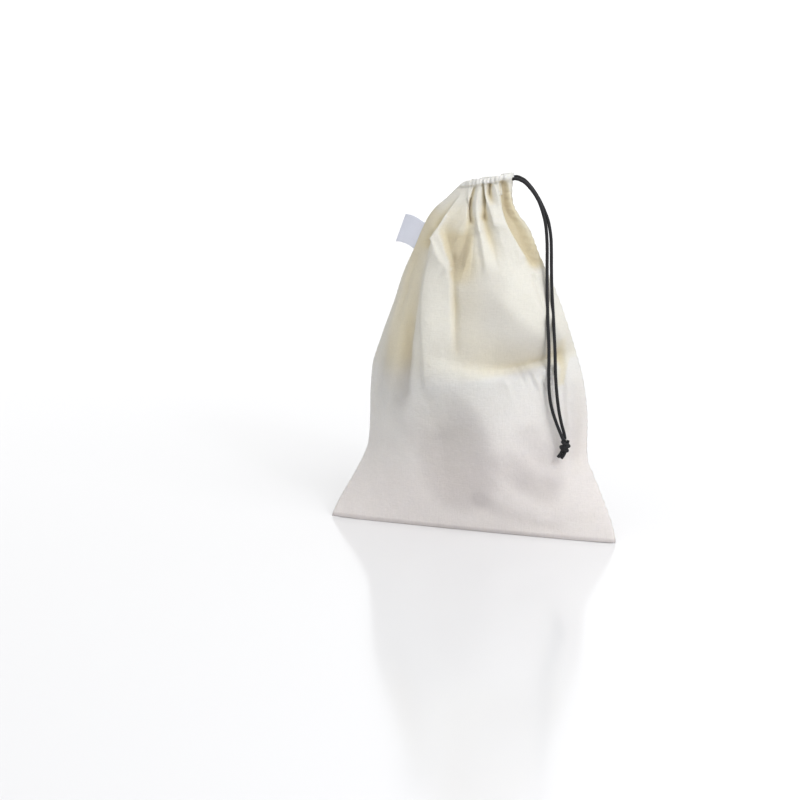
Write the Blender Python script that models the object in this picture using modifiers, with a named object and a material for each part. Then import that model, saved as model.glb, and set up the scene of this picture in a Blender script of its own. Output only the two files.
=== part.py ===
# Drawstring pouch of plain unbleached cotton, standing on its base and drawn shut.
#
# Two panels are sewn together at the sides and along the bottom. Each is hemmed at the top
# into a tunnel, and one black cord runs round the tunnel. Its two ends leave at the right,
# hang down the front and are tied together in one knot.
#
# Frame: X to the right, Y to the back, Z up, origin at the middle of the footprint.
# The tables are in millimetres, and MM turns them into metres.

import math
from collections import namedtuple

import bmesh
import bpy
from mathutils import Vector

MM = 0.001

# Driving dimensions, in millimetres.
SEAM_GAP = 0.3           # between the two panels, all along their shared seam
SEAM_FORWARD = 28.0      # the bottom seam lies this far in front of the middle
SEAM_FADE = 120.0        # height at which the side seams are back at the middle
TUNNEL_TILT = 4.5        # the right end of the tunnel is this much higher than its middle
TILT_START = 262.0       # height from which the sections start to tilt
TUNNEL_TOP = 340.0       # middle of the tunnel's crest
PUCKER_DEPTH = 0.7       # small even gathers round the tunnel
PUCKERS = 7.5            # how many of them cross a panel
PUCKER_START = 318.0
EAR_LIFT = 0.9           # how much each floor row climbs at the pointed corners
EDGE_FADE = 0.16         # share of a half panel over which folds die out at the seams
COLUMNS = 38             # faces across a panel

CORD_WIDTH = 3.2
CORD_STEP = 7.5          # between the points of a strand
KNOT_RADIUS = 2.5        # of the two strands inside the knot's turns
TURN_RADIUS = 2.7        # of the turns round them
KNOT_GRAIN = 0.8         # voxel that fuses the knot's turns into one body

LABEL_REACH = 21.0       # how far the label stands out of the seam
LABEL_BOTTOM = 269.0     # where it is sewn in, along the left seam
LABEL_TOP = 295.0
LABEL_THICK = 1.0
LABEL_CURL = 3.5         # how far its free edge bends back
LABEL_CELLS = 8

# Sections of the pouch from the floor up. left and right are where the side seams run, front
# and back are how far the inner faces stand off the seam at the middle, square is how full
# the section is between the seams, and gather is how far the pleats are pressed together.
Level = namedtuple("Level", "height left right front back square wall gather")
LEVELS = [
    Level(0.0, -143.0, 144.0, 2.5, 62.0, 2.2, 1.5, 0.0),
    Level(5.0, -142.0, 143.0, 6.5, 64.0, 2.2, 1.5, 0.0),
    Level(15.0, -138.5, 139.5, 14.0, 65.0, 2.2, 1.5, 0.0),
    Level(40.0, -126.0, 127.0, 31.0, 62.0, 2.2, 1.5, 0.0),
    Level(62.0, -116.0, 115.5, 42.5, 59.5, 2.3, 1.5, 0.0),
    Level(72.0, -113.0, 110.5, 46.5, 58.5, 2.3, 1.5, 0.0),
    Level(88.0, -112.0, 108.5, 51.5, 57.5, 2.4, 1.5, 0.0),
    Level(112.0, -112.0, 108.0, 55.5, 56.5, 2.4, 1.5, 0.0),
    Level(148.0, -110.0, 103.5, 56.5, 56.0, 2.4, 1.5, 0.0),
    Level(178.0, -101.0, 95.0, 52.5, 53.5, 2.4, 1.5, 0.0),
    Level(219.0, -86.0, 81.0, 42.5, 45.0, 2.3, 1.5, 0.0),
    Level(242.0, -78.0, 71.5, 36.5, 38.5, 2.3, 1.5, 0.0),
    Level(267.0, -66.5, 58.5, 29.5, 31.0, 2.3, 1.5, 0.0),
    Level(292.0, -56.0, 47.0, 22.0, 22.5, 2.2, 1.6, 0.1),
    Level(303.0, -50.5, 38.0, 18.0, 18.0, 2.2, 2.2, 0.4),
    Level(313.0, -43.0, 33.0, 13.5, 13.5, 2.2, 3.2, 0.8),
    Level(322.0, -33.0, 31.0, 9.0, 9.0, 2.2, 4.2, 1.0),
    Level(328.0, -27.5, 31.0, 6.5, 6.5, 2.2, 4.4, 1.0),
    Level(332.0, -23.5, 32.0, 5.5, 5.5, 2.2, 6.4, 1.0),
    Level(336.5, -18.5, 32.0, 5.0, 5.0, 2.2, 6.6, 1.0),
    Level(TUNNEL_TOP, -15.5, 31.5, 5.0, 5.0, 2.2, 3.0, 1.0),
]

# Heights of the rows of faces between the levels: each gap is cut into this many.
ROW_CUTS = [1, 1, 2, 1, 1, 1, 2, 2, 2, 3, 2, 2, 2, 1, 1, 1, 1, 1, 1, 1]

# Where the flat base is cut into rows, as shares of its depth from the bottom seam out.
FLOOR_SHARES = {-1: (0.0, 0.55), 1: (0.0, 0.3, 0.62, 0.92)}

# Folds, each along a bent line through three places seen from the front. w1 and w3 are its
# half widths at the two ends, p1 and p3 how far it pushes the cloth out (a ridge) or in (a
# trough). side is -1 on the front panel and 1 on the back.
Fold = namedtuple("Fold", "side x1 z1 x2 z2 x3 z3 w1 w3 p1 p3")
FOLDS = [
    # Pleats that fan out from the tunnel, left to right.
    Fold(-1, -18, 325, -28, 307, -40, 284, 2.6, 5.0, -2.6, -2.5),
    Fold(-1, -11, 326, -20, 306, -37, 284, 3.0, 6.0, 1.6, 3.0),
    Fold(-1, -4, 330, -8, 308, -23, 276, 2.2, 10.0, -2.8, -6.5),
    Fold(-1, 1, 328, 0, 308, -2, 286, 2.2, 3.5, 2.2, 1.5),
    Fold(-1, 6, 330, 7, 316, 6, 292, 2.0, 4.0, -2.8, -2.2),
    Fold(-1, 9, 330, 15, 312, 27, 284, 2.6, 8.0, 2.4, 3.6),
    Fold(-1, 14, 330, 20, 312, 30, 292, 1.8, 4.0, -2.8, -1.6),
    Fold(-1, 18, 328, 25, 310, 36, 284, 2.4, 6.0, 2.2, 3.0),
    Fold(-1, 25, 322, 36, 294, 56, 257, 3.4, 8.5, -2.6, -5.0),
    # Long soft folds down the upper half.
    Fold(-1, -40, 280, -53, 243, -62, 176, 7.0, 11.0, 4.0, 3.0),
    Fold(-1, -36, 286, -30, 274, -17, 260, 4.0, 6.0, 2.5, 2.0),
    Fold(-1, -12, 264, -9, 228, -6, 184, 4.5, 7.0, -3.6, -2.0),
    Fold(-1, -5, 282, -1, 262, 4, 244, 4.0, 6.0, -2.0, -1.2),
    Fold(-1, 42, 246, 54, 232, 67, 214, 7.0, 9.0, 3.0, 2.5),
    # The cloth falls in over what fills the lower half, and tucks under above the floor.
    Fold(-1, 16, 172, 45, 176, 74, 181, 9.0, 8.0, -4.0, -3.0),
    Fold(-1, 14, 152, 45, 156, 74, 161, 9.0, 8.0, 3.0, 2.0),
    Fold(-1, -30, 32, 34, 30, 74, 14, 7.0, 6.0, -1.0, -3.0),
    Fold(-1, 74, 14, 98, 22, 122, 28, 6.0, 6.0, -3.0, -1.0),
    # Back pleats and folds.
    Fold(1, -20, 322, -33, 298, -45, 268, 3.0, 8.0, -2.6, -4.5),
    Fold(1, -12, 326, -19, 304, -28, 272, 2.4, 6.0, 2.2, 3.0),
    Fold(1, -5, 328, -8, 308, -12, 262, 2.2, 8.0, -2.8, -5.0),
    Fold(1, 1, 328, 2, 308, 4, 280, 2.2, 5.0, 2.4, 2.5),
    Fold(1, 7, 330, 10, 308, 18, 270, 2.2, 8.0, -2.8, -4.0),
    Fold(1, 13, 330, 19, 310, 32, 282, 2.4, 6.0, 2.4, 3.0),
    Fold(1, 20, 330, 28, 306, 44, 266, 2.4, 9.0, -2.8, -5.5),
    Fold(1, 30, 250, 22, 214, 10, 178, 6.0, 10.0, -3.0, -2.0),
    Fold(1, -48, 246, -42, 210, -44, 160, 8.0, 12.0, 3.5, 2.5),
    Fold(1, -60, 176, -10, 168, 40, 180, 9.0, 9.0, -3.0, -3.5),
    Fold(1, -70, 44, 0, 24, 70, 40, 8.0, 8.0, -2.0, -2.0),
]

# Routes of the two strands from the tunnel's right end down to the knot.
STRANDS = {
    "cord_strand_left": [
        (31.7, -2.2, 339.4), (35.2, -2.7, 339.6), (39.3, -3.2, 338.6), (44.5, -3.4, 335.8),
        (51.2, -3.7, 328.9), (56.0, -4.1, 322.2), (59.2, -4.4, 316.0), (62.2, -4.8, 307.7),
        (64.6, -5.2, 298.7), (66.2, -5.8, 286.7), (67.0, -6.6, 275.1), (67.7, -8.5, 259.5),
        (68.8, -11.8, 243.3), (70.1, -15.5, 231.9), (71.5, -18.9, 220.6), (72.7, -21.9, 209.2),
        (74.2, -24.9, 197.9), (75.5, -27.3, 186.4), (76.4, -29.8, 175.0), (77.2, -32.6, 163.6),
        (77.8, -34.4, 154.4), (78.7, -35.8, 145.1), (80.3, -36.4, 134.6), (83.0, -36.0, 124.0),
        (86.8, -34.8, 112.8), (90.2, -33.7, 104.0), (92.4, -33.1, 98.6),
    ],
    "cord_strand_right": [
        (31.9, 2.3, 340.9), (35.0, 1.5, 341.3), (38.8, 0.9, 340.1), (43.0, 0.6, 337.8),
        (49.6, 0.2, 331.2), (55.4, 0.0, 323.1), (59.2, -0.4, 316.7), (62.7, -1.2, 310.0),
        (66.6, -2.6, 301.0), (69.6, -4.2, 288.0), (70.7, -5.2, 275.1), (71.4, -6.6, 259.4),
        (72.5, -8.8, 243.0), (73.8, -11.2, 231.5), (75.5, -14.4, 220.1), (77.2, -17.8, 208.8),
        (78.9, -21.4, 197.6), (80.6, -24.8, 186.3), (81.9, -27.8, 175.0), (83.0, -30.6, 163.6),
        (84.1, -32.2, 154.3), (85.2, -33.2, 145.0), (86.5, -33.2, 134.5), (88.0, -32.2, 123.9),
        (90.2, -30.8, 112.5), (92.3, -29.9, 104.6), (93.4, -29.6, 98.8),
    ],
}

# The knot: its axis from where the strands come in to where the tails leave, and the tails.
KNOT_AXIS = [(93.1, -31.5, 98.3), (94.3, -31.5, 91.8), (92.8, -31.8, 86.4)]
KNOT_TAILS = [
    [(92.2, -32.4, 88.6), (89.9, -33.0, 83.6), (88.0, -33.4, 79.6)],
    [(93.6, -31.6, 88.6), (92.7, -31.8, 83.4), (91.5, -32.0, 78.8)],
]


def between(rows, place, column):
    """Value of a column at a height, on a smooth curve through the table's rows."""
    heights = [row.height for row in rows]
    values = [getattr(row, column) for row in rows]
    place = min(max(place, heights[0]), heights[-1])
    upper = next(i for i in range(1, len(rows)) if place <= heights[i])
    lower = upper - 1

    def slope(index):
        if index in (0, len(rows) - 1):
            return 0.0 if column == "gather" else rise(min(index, len(rows) - 2))
        before, after = rise(index - 1), rise(index)
        if before * after <= 0.0:
            return 0.0
        return 2.0 * before * after / (before + after)

    def rise(index):
        return (values[index + 1] - values[index]) / (heights[index + 1] - heights[index])

    span = heights[upper] - heights[lower]
    t = (place - heights[lower]) / span
    start = values[lower] + t * t * (3.0 - 2.0 * t) * (values[upper] - values[lower])
    bend = t * (1.0 - t) * span
    return start + bend * ((1.0 - t) * slope(lower) - t * slope(upper))


def distance_along(x, z, fold):
    """Distance from a place to a fold's bent line, and how far along the line that is."""
    corners = [(fold.x1, fold.z1), (fold.x2, fold.z2), (fold.x3, fold.z3)]
    best = (1e9, 0.0)
    for part, (start, end) in enumerate(zip(corners, corners[1:])):
        run = (end[0] - start[0], end[1] - start[1])
        length = run[0] ** 2 + run[1] ** 2
        t = ((x - start[0]) * run[0] + (z - start[1]) * run[1]) / length
        t = min(max(t, 0.0), 1.0)
        away = math.hypot(x - start[0] - t * run[0], z - start[1] - t * run[1])
        if away < best[0]:
            best = (away, (part + t) / 2.0)
    return best


def fold_push(side, x, z):
    """How far all the folds together push the cloth out at a place seen from the front."""
    push = 0.0
    for fold in FOLDS:
        if fold.side != side:
            continue
        away, along = distance_along(x, z, fold)
        width = fold.w1 + (fold.w3 - fold.w1) * along
        depth = fold.p1 + (fold.p3 - fold.p1) * along
        push += depth * math.exp(-((away / width) ** 2))
    return push


def seam_shift(z):
    """Y of the shared seam plane, which swings forward towards the floor."""
    return -SEAM_FORWARD * max(0.0, 1.0 - z / SEAM_FADE) ** 2


def skin_point(side, across, row, inner):
    """Place of a point on a panel's outer or inner face, in millimetres.

    across runs from -1 at the left seam to 1 at the right one. row is (height, share of the
    floor's depth, number of the floor row), with a share of 1 on the wall.
    """
    height, share, floor_row = row
    level = {name: between(LEVELS, height, name) for name in Level._fields[1:]}
    depth = level["front"] if side < 0 else level["back"]
    half = (level["right"] - level["left"]) / 2.0
    middle = (level["right"] + level["left"]) / 2.0
    edge_lean = math.atan(level["square"] * depth / half)
    half -= level["wall"] * math.sin(edge_lean)
    lean = math.atan(level["square"] * depth / half * abs(across) ** (level["square"] - 1.0))
    out = Vector((math.copysign(math.sin(lean), across), math.cos(lean)))

    place = Vector((middle + half * across, depth * (1.0 - abs(across) ** level["square"])))
    seen = place.x + (0.0 if inner else out.x * level["wall"])
    fade = min(1.0, (1.0 - abs(across)) / EDGE_FADE)
    push = fold_push(side, seen, height) * fade
    if inner:
        push *= 1.0 - level["gather"]
    else:
        gathers = max(0.0, height - PUCKER_START) / (TUNNEL_TOP - PUCKER_START)
        wave = math.cos(math.pi * PUCKERS * (across + 1.0))
        push += PUCKER_DEPTH * min(1.0, 2.0 * gathers) * wave * fade
        if level["gather"] > 0.5:
            push = max(push, 1.2 - level["wall"])
        place += out * level["wall"]
    if share < 1.0:
        push = 0.0
    place += out * push
    if inner:
        place.y = max(place.y, 0.0)

    tilt = TUNNEL_TILT * max(0.0, (height - TILT_START) / (TUNNEL_TOP - TILT_START))
    z = height + tilt * across + EAR_LIFT * floor_row * abs(across) ** 12
    if share < 1.0 and inner:
        z += level["wall"]
    seam = seam_shift(z - tilt * across)
    return Vector((place.x, side * (SEAM_GAP / 2.0 + share * place.y) + seam, z))


def panel_rows(side):
    """The rows of a panel from its bottom seam out over the floor and up to the tunnel."""
    rows = [(0.0, share, k) for k, share in enumerate(FLOOR_SHARES[side])]
    for lower, upper, cuts in zip(LEVELS, LEVELS[1:], ROW_CUTS):
        for cut in range(1, cuts + 1):
            height = lower.height + (upper.height - lower.height) * cut / cuts
            rows.append((height, 1.0, 0))
    return rows


def new_material(name, colour, roughness, metallic=0.0):
    material = bpy.data.materials.new(name)
    material.use_nodes = True
    shader = material.node_tree.nodes["Principled BSDF"]
    shader.inputs["Base Color"].default_value = (*colour, 1.0)
    shader.inputs["Roughness"].default_value = roughness
    shader.inputs["Metallic"].default_value = metallic
    return material


def add_mesh_object(name, shape, material, collection):
    """Turn a finished bmesh into an object with smooth faces and its material."""
    bmesh.ops.recalc_face_normals(shape, faces=shape.faces)
    mesh = bpy.data.meshes.new(name)
    shape.to_mesh(mesh)
    shape.free()
    mesh.shade_smooth()
    mesh.set_sharp_from_angle(angle=math.radians(50.0))
    mesh.materials.append(material)
    made = bpy.data.objects.new(name, mesh)
    collection.objects.link(made)
    return made


def closed_sheet(outer, inner):
    """Close the space between two grids of points with the same rows and columns."""
    shape = bmesh.new()
    grids = [[[shape.verts.new(p * MM) for p in row] for row in grid] for grid in (outer, inner)]
    last_row, last_column = len(outer) - 1, len(outer[0]) - 1
    for grid in grids:
        for r in range(last_row):
            for c in range(last_column):
                shape.faces.new((grid[r][c], grid[r][c + 1], grid[r + 1][c + 1], grid[r + 1][c]))
    front, back = grids
    for r in range(last_row):
        for c in (0, last_column):
            shape.faces.new((front[r][c], front[r + 1][c], back[r + 1][c], back[r][c]))
    for c in range(last_column):
        for r in (0, last_row):
            shape.faces.new((front[r][c], front[r][c + 1], back[r][c + 1], back[r][c]))
    return shape


def add_panel(name, side, material, collection):
    """One cut piece of cloth: base share, wall and hemmed tunnel, lofted between its skins."""
    steps = [-1.0 + 2.0 * c / COLUMNS for c in range(COLUMNS + 1)]
    rows = panel_rows(side)
    skins = [[[skin_point(side, across, row, inner) for across in steps] for row in rows]
             for inner in (False, True)]
    return add_mesh_object(name, closed_sheet(*skins), material, collection)


def add_label(material, collection):
    """The folded tape that stands out of the left side seam, curling back at its free edge."""
    outer, inner = [], []
    for r in range(LABEL_CELLS + 1):
        height = LABEL_BOTTOM + (LABEL_TOP - LABEL_BOTTOM) * r / LABEL_CELLS
        seam = Vector((between(LEVELS, height, "left"), 0.0, height))
        above = Vector((between(LEVELS, height + 1.0, "left"), 0.0, height + 1.0))
        away = Vector((0.0, 1.0, 0.0)).cross(seam - above).normalized()
        front_row, back_row = [], []
        for c in range(LABEL_CELLS + 1):
            reach = c / LABEL_CELLS
            place = seam + away * (SEAM_GAP + LABEL_REACH * reach)
            place.z -= TUNNEL_TILT * max(0.0, height - TILT_START) / (TUNNEL_TOP - TILT_START)
            place.y += LABEL_CURL * reach ** 2
            front_row.append(place - Vector((0.0, LABEL_THICK / 2.0, 0.0)))
            back_row.append(place + Vector((0.0, LABEL_THICK / 2.0, 0.0)))
        outer.append(front_row)
        inner.append(back_row)
    return add_mesh_object("side_label", closed_sheet(outer, inner), material, collection)


def smooth_route(points, step):
    """Evenly spaced points on a smooth curve through a route's own points."""
    places = [Vector(p) for p in points]
    places = [places[0] * 2.0 - places[1]] + places + [places[-1] * 2.0 - places[-2]]
    dense = []
    for i in range(1, len(places) - 2):
        before, start, end, after = places[i - 1:i + 3]
        for cut in range(20):
            t = cut / 20.0
            dense.append(0.5 * (2.0 * start + (end - before) * t
                                + (2.0 * before - 5.0 * start + 4.0 * end - after) * t ** 2
                                + (3.0 * start - before - 3.0 * end + after) * t ** 3))
    dense.append(places[-2])
    lengths = [0.0]
    for start, end in zip(dense, dense[1:]):
        lengths.append(lengths[-1] + (end - start).length)
    count = max(2, round(lengths[-1] / step))
    spaced = []
    for k in range(count + 1):
        want = lengths[-1] * k / count
        i = next((j for j in range(1, len(lengths)) if lengths[j] >= want), len(lengths) - 1)
        share = (want - lengths[i - 1]) / (lengths[i] - lengths[i - 1])
        spaced.append(dense[i - 1].lerp(dense[i], share))
    return spaced


def add_tube(name, points, radius, material, collection):
    """A round cord with closed ends along a line of points."""
    curve = bpy.data.curves.new(name, "CURVE")
    curve.dimensions = "3D"
    curve.bevel_depth = radius * MM
    curve.bevel_resolution = 2
    curve.use_fill_caps = True
    spline = curve.splines.new("POLY")
    spline.points.add(len(points) - 1)
    for point, place in zip(spline.points, points):
        point.co = (*(place * MM), 1.0)
    curve.materials.append(material)
    tube = bpy.data.objects.new(name, curve)
    collection.objects.link(tube)
    return tube


def knot_turns():
    """The two turns that the ends take round the strands, across the knot's axis."""
    top, middle, bottom = (Vector(p) for p in KNOT_AXIS)
    along = (bottom - top).normalized()
    side = along.cross(Vector((0.0, -1.0, 0.0))).normalized()
    front = along.cross(side)
    turns = []
    for tilt, centre in ((0.55, 0.30), (-0.5, 0.66)):
        ring = []
        heart = top.lerp(bottom, centre)
        for k in range(15):
            angle = 2.0 * math.pi * 1.06 * k / 14.0
            ring.append(heart + side * math.cos(angle) * TURN_RADIUS
                        + front * math.sin(angle) * TURN_RADIUS
                        + along * math.cos(angle) * TURN_RADIUS * tilt)
        turns.append(ring)
    return turns


def add_knot(material, collection):
    """The overhand knot and its two cut tails, fused into one body."""
    runs = [(smooth_route(KNOT_AXIS, 2.0), KNOT_RADIUS)]
    runs += [(smooth_route(tail, 2.0), CORD_WIDTH / 2.0) for tail in KNOT_TAILS]
    runs += [(turn, CORD_WIDTH / 2.0) for turn in knot_turns()]
    shape = bmesh.new()
    for points, radius in runs:
        tube = add_tube("knot_run", points, radius, material, collection)
        bpy.context.view_layer.update()
        solid = bpy.data.meshes.new_from_object(tube.evaluated_get(
            bpy.context.evaluated_depsgraph_get()))
        shape.from_mesh(solid)
        bpy.data.objects.remove(tube)
        bpy.data.meshes.remove(solid)
    bmesh.ops.remove_doubles(shape, verts=shape.verts, dist=0.00001)
    knot = add_mesh_object("cord_knot", shape, material, collection)
    fuse = knot.modifiers.new("fuse", "REMESH")
    fuse.mode = "VOXEL"
    fuse.voxel_size = KNOT_GRAIN * MM
    fuse.use_smooth_shade = True
    return knot


def build():
    for item in list(bpy.data.objects):
        bpy.data.objects.remove(item)
    pouch = bpy.data.collections.new("cotton_drawstring_pouch")
    bpy.context.scene.collection.children.link(pouch)
    cotton = new_material("natural_cotton", (0.80, 0.76, 0.67), 0.9)
    back_cotton = new_material("natural_cotton_back", (0.79, 0.75, 0.66), 0.9)
    tape = new_material("label_tape", (0.78, 0.80, 0.88), 0.7)
    black = new_material("black_cord", (0.03, 0.03, 0.032), 0.8)
    add_panel("front_panel", -1, cotton, pouch)
    add_panel("back_panel", 1, back_cotton, pouch)
    add_label(tape, pouch)
    for name, route in STRANDS.items():
        add_tube(name, smooth_route(route, CORD_STEP), CORD_WIDTH / 2.0, black, pouch)
    add_knot(black, pouch)


build()
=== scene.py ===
# Cotton drawstring pouch, standing drawn shut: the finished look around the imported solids.
import math
from collections import namedtuple

import bpy
import numpy as np
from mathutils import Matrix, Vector


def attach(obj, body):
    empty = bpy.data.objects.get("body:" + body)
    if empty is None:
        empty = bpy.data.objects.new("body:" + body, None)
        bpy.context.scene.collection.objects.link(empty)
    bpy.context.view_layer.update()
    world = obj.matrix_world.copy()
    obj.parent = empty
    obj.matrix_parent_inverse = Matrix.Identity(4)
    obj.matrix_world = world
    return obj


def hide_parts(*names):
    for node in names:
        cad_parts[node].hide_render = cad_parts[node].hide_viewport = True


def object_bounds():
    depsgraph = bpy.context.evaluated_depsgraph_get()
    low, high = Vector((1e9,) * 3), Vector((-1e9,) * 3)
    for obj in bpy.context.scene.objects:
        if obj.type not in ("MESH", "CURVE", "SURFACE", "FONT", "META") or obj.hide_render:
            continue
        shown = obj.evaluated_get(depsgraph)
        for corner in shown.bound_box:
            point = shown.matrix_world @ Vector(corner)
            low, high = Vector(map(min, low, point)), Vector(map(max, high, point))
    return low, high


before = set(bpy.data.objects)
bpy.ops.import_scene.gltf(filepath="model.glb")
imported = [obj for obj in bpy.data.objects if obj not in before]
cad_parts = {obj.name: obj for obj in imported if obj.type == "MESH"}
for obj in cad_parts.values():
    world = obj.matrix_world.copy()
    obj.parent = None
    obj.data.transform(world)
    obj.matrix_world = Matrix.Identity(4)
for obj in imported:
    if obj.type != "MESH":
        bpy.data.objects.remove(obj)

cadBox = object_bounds()
bpy.ops.object.select_all(action="DESELECT")
mm = 0.001  # the tables below are in millimetres
norm = np.linalg.norm
pouchTop = cadBox[1][2]
print("frame loaded, nodes:", sorted(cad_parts))

def newMaterial(name):
    material = bpy.data.materials.new(name)
    material.use_nodes = True
    return material, material.node_tree, material.node_tree.nodes["Principled BSDF"]


def addNode(tree, kind, **settings):
    made = tree.nodes.new(kind)
    for key, value in settings.items():
        setattr(made, key, value)
    return made


def setInputs(node, values):
    for key, value in values.items():
        node.inputs[key].default_value = value


# camera, lights and floor

view = {
    "azimuth": 16.0,       # turned this far to the pouch's right, in degrees
    "elevation": 12.0,
    "distance": 1.83,
    "lens": 85.0,
    "lookShare": 0.476,    # height of the point that the distance is measured from
    "aimLeft": 0.0766,     # the pouch stands right of and above the middle of the picture
    "aimDown": 0.0407,
}


def outward(azimuth, elevation):
    a, e = math.radians(azimuth), math.radians(elevation)
    return Vector((math.sin(a) * math.cos(e), -math.cos(a) * math.cos(e), math.sin(e)))


def addCamera():
    target = Vector((0.0, 0.0, view["lookShare"] * pouchTop))
    back = outward(view["azimuth"], view["elevation"])
    right = Vector((0.0, 0.0, 1.0)).cross(back).normalized()
    up = back.cross(right)
    place = target + back * view["distance"]
    aim = target - right * view["aimLeft"] - up * view["aimDown"]
    bpy.ops.object.camera_add(location=place)
    camera = bpy.context.object
    camera.name = "camera"
    camera.data.lens = view["lens"]
    camera.rotation_euler = (aim - place).to_track_quat("-Z", "Y").to_euler()
    bpy.context.scene.camera = camera


studio = {
    "backdrop": (1.45, 1.45, 1.45),
    "softFrom": (0.30, -0.45, 0.84),   # the soft light is strongest from here
    "softRange": {"From Min": -1.0, "To Min": 0.02, "To Max": 0.95},
    "floorSize": 80.0,
    "floorDrop": 0.4 * mm,             # a little under the pouch's base
    "floorFinish": {"Base Color": (0.70, 0.70, 0.71, 1.0), "Roughness": 0.14, "IOR": 1.5,
                    "Emission Color": (1.0, 1.0, 1.0, 1.0), "Emission Strength": 0.11},
}

# name, azimuth, elevation, distance, size, watts, colour
studioLights = [
    ("keyLight", 55.0, 38.0, 1.7, 1.5, 12.5, (0.97, 0.98, 1.0)),
    ("edgeLight", 52.0, 36.0, 1.7, 0.25, 3.5, (0.97, 0.98, 1.0)),
    ("fillLight", -50.0, 62.0, 1.9, 1.2, 2.2, (1.0, 0.98, 0.95)),
]


def addLights():
    world = bpy.data.worlds.new("studio")
    world.use_nodes = True
    tree = world.node_tree
    link = tree.links.new
    backdrop = tree.nodes["Background"]
    backdrop.inputs["Color"].default_value = (*studio["backdrop"], 1.0)
    soft = addNode(tree, "ShaderNodeBackground")
    toward = addNode(tree, "ShaderNodeVectorMath", operation="DOT_PRODUCT")
    toward.inputs[1].default_value = Vector(studio["softFrom"]).normalized()
    link(addNode(tree, "ShaderNodeTexCoord").outputs["Generated"], toward.inputs[0])
    strength = addNode(tree, "ShaderNodeMapRange")
    setInputs(strength, studio["softRange"])
    link(toward.outputs["Value"], strength.inputs["Value"])
    link(strength.outputs["Result"], soft.inputs["Strength"])
    either = addNode(tree, "ShaderNodeMixShader")
    link(addNode(tree, "ShaderNodeLightPath").outputs["Is Diffuse Ray"], either.inputs[0])
    link(backdrop.outputs[0], either.inputs[1])
    link(soft.outputs[0], either.inputs[2])
    link(either.outputs[0], tree.nodes["World Output"].inputs["Surface"])
    bpy.context.scene.world = world
    bpy.context.scene.view_settings.view_transform = "Standard"
    middle = Vector((0.0, 0.0, pouchTop / 2.0))
    for name, azimuth, elevation, distance, size, watts, colour in studioLights:
        place = middle + outward(azimuth, elevation) * distance
        bpy.ops.object.light_add(type="AREA", location=place)
        light = bpy.context.object
        light.name = name
        light.data.shape = "DISK"
        light.data.size = size
        light.data.energy = watts
        light.data.color = colour
        light.rotation_euler = (middle - place).to_track_quat("-Z", "Y").to_euler()


def addFloor():
    bpy.ops.mesh.primitive_plane_add(size=studio["floorSize"], location=(0, 0, -studio["floorDrop"]))
    floor = bpy.context.object
    floor.name = "floor"
    material, _, shader = newMaterial("pale_floor")
    setInputs(shader, studio["floorFinish"])
    floor.data.materials.append(material)


addCamera()
addLights()
addFloor()
print("camera, lights and floor added")

# shared helpers for meshes and routes

def meshPiece(name, points, faces, uv, values=None):
    mesh = bpy.data.meshes.new(name)
    mesh.from_pydata([tuple(p) for p in points * mm], [], faces)
    corner = np.zeros(len(mesh.loops), np.int32)
    mesh.loops.foreach_get("vertex_index", corner)
    layer = mesh.uv_layers.new(name="clothUv")
    layer.data.foreach_set("uv", (uv[corner] * mm).astype(np.float32).ravel())
    for key, numbers in (values or {}).items():
        attribute = mesh.attributes.new(key, "FLOAT", "POINT")
        attribute.data.foreach_set("value", np.asarray(numbers, np.float32))
    mesh.shade_smooth()
    piece = bpy.data.objects.new(name, mesh)
    bpy.context.scene.collection.objects.link(piece)
    return piece


def gridFaces(ids, turned=False):
    a, b = ids[:-1, :-1].ravel(), ids[:-1, 1:].ravel()
    c, d = ids[1:, 1:].ravel(), ids[1:, :-1].ravel()
    order = (a, d, c, b) if turned else (a, b, c, d)
    return np.stack(order, axis=1).tolist()


def closedSheet(outer, inner, turned=False):
    # points and faces of a sheet between these two grids, closed round its four edges
    ids = np.arange(outer[..., 0].size).reshape(outer.shape[:2])
    back = ids + ids.size
    faces = gridFaces(ids, turned) + gridFaces(back, not turned)
    for strip in ((back[:, 0], ids[:, 0]), (ids[:, -1], back[:, -1])):
        faces += gridFaces(np.stack(strip, axis=1), turned)
    for strip in ((back[0], ids[0]), (ids[-1], back[-1])):
        faces += gridFaces(np.stack(strip, axis=0), turned)
    return np.concatenate([outer.reshape(-1, 3), inner.reshape(-1, 3)]), faces


def ramp(share):
    return np.clip(share, 0.0, 1.0)


def softRamp(share):
    share = ramp(share)
    return share * share * (3.0 - 2.0 * share)


def placesAlong(line):
    # how far along the line each of its points is
    return np.concatenate([[0], np.cumsum(norm(np.diff(line, axis=0), axis=1))])


def directions(line):
    along = np.gradient(line, axis=0)
    return along / norm(along, axis=1, keepdims=True)


def smoothRoute(route, step):
    # evenly spaced points on a smooth curve through a route's own points
    places = np.array(route, float)
    places = np.vstack([2 * places[0] - places[1], places, 2 * places[-1] - places[-2]])
    dense = []
    for i in range(1, len(places) - 2):
        before, start, end, after = places[i - 1:i + 3]
        for t in np.linspace(0.0, 1.0, 20, endpoint=False):
            dense.append(0.5 * (2 * start + (end - before) * t
                                + (2 * before - 5 * start + 4 * end - after) * t ** 2
                                + (3 * start - before - 3 * end + after) * t ** 3))
    dense = np.vstack([dense, places[-2]])
    far = placesAlong(dense)
    wanted = np.linspace(0.0, far[-1], max(2, round(far[-1] / step)) + 1)
    return np.stack([np.interp(wanted, far, dense[:, k]) for k in range(3)], axis=1)


def frames(points):
    # a side and a front direction at each point, carried along the line without twist
    along = directions(points)
    start = (0.0, -1.0, 0.0) if abs(along[0][1]) < 0.9 else (1.0, 0.0, 0.0)
    side = np.cross(along[0], start)
    sides = []
    for direction in along:
        side = side - direction * np.dot(side, direction)
        side /= norm(side)
        sides.append(side)
    sides = np.array(sides)
    return sides, np.cross(along, sides)


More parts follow.
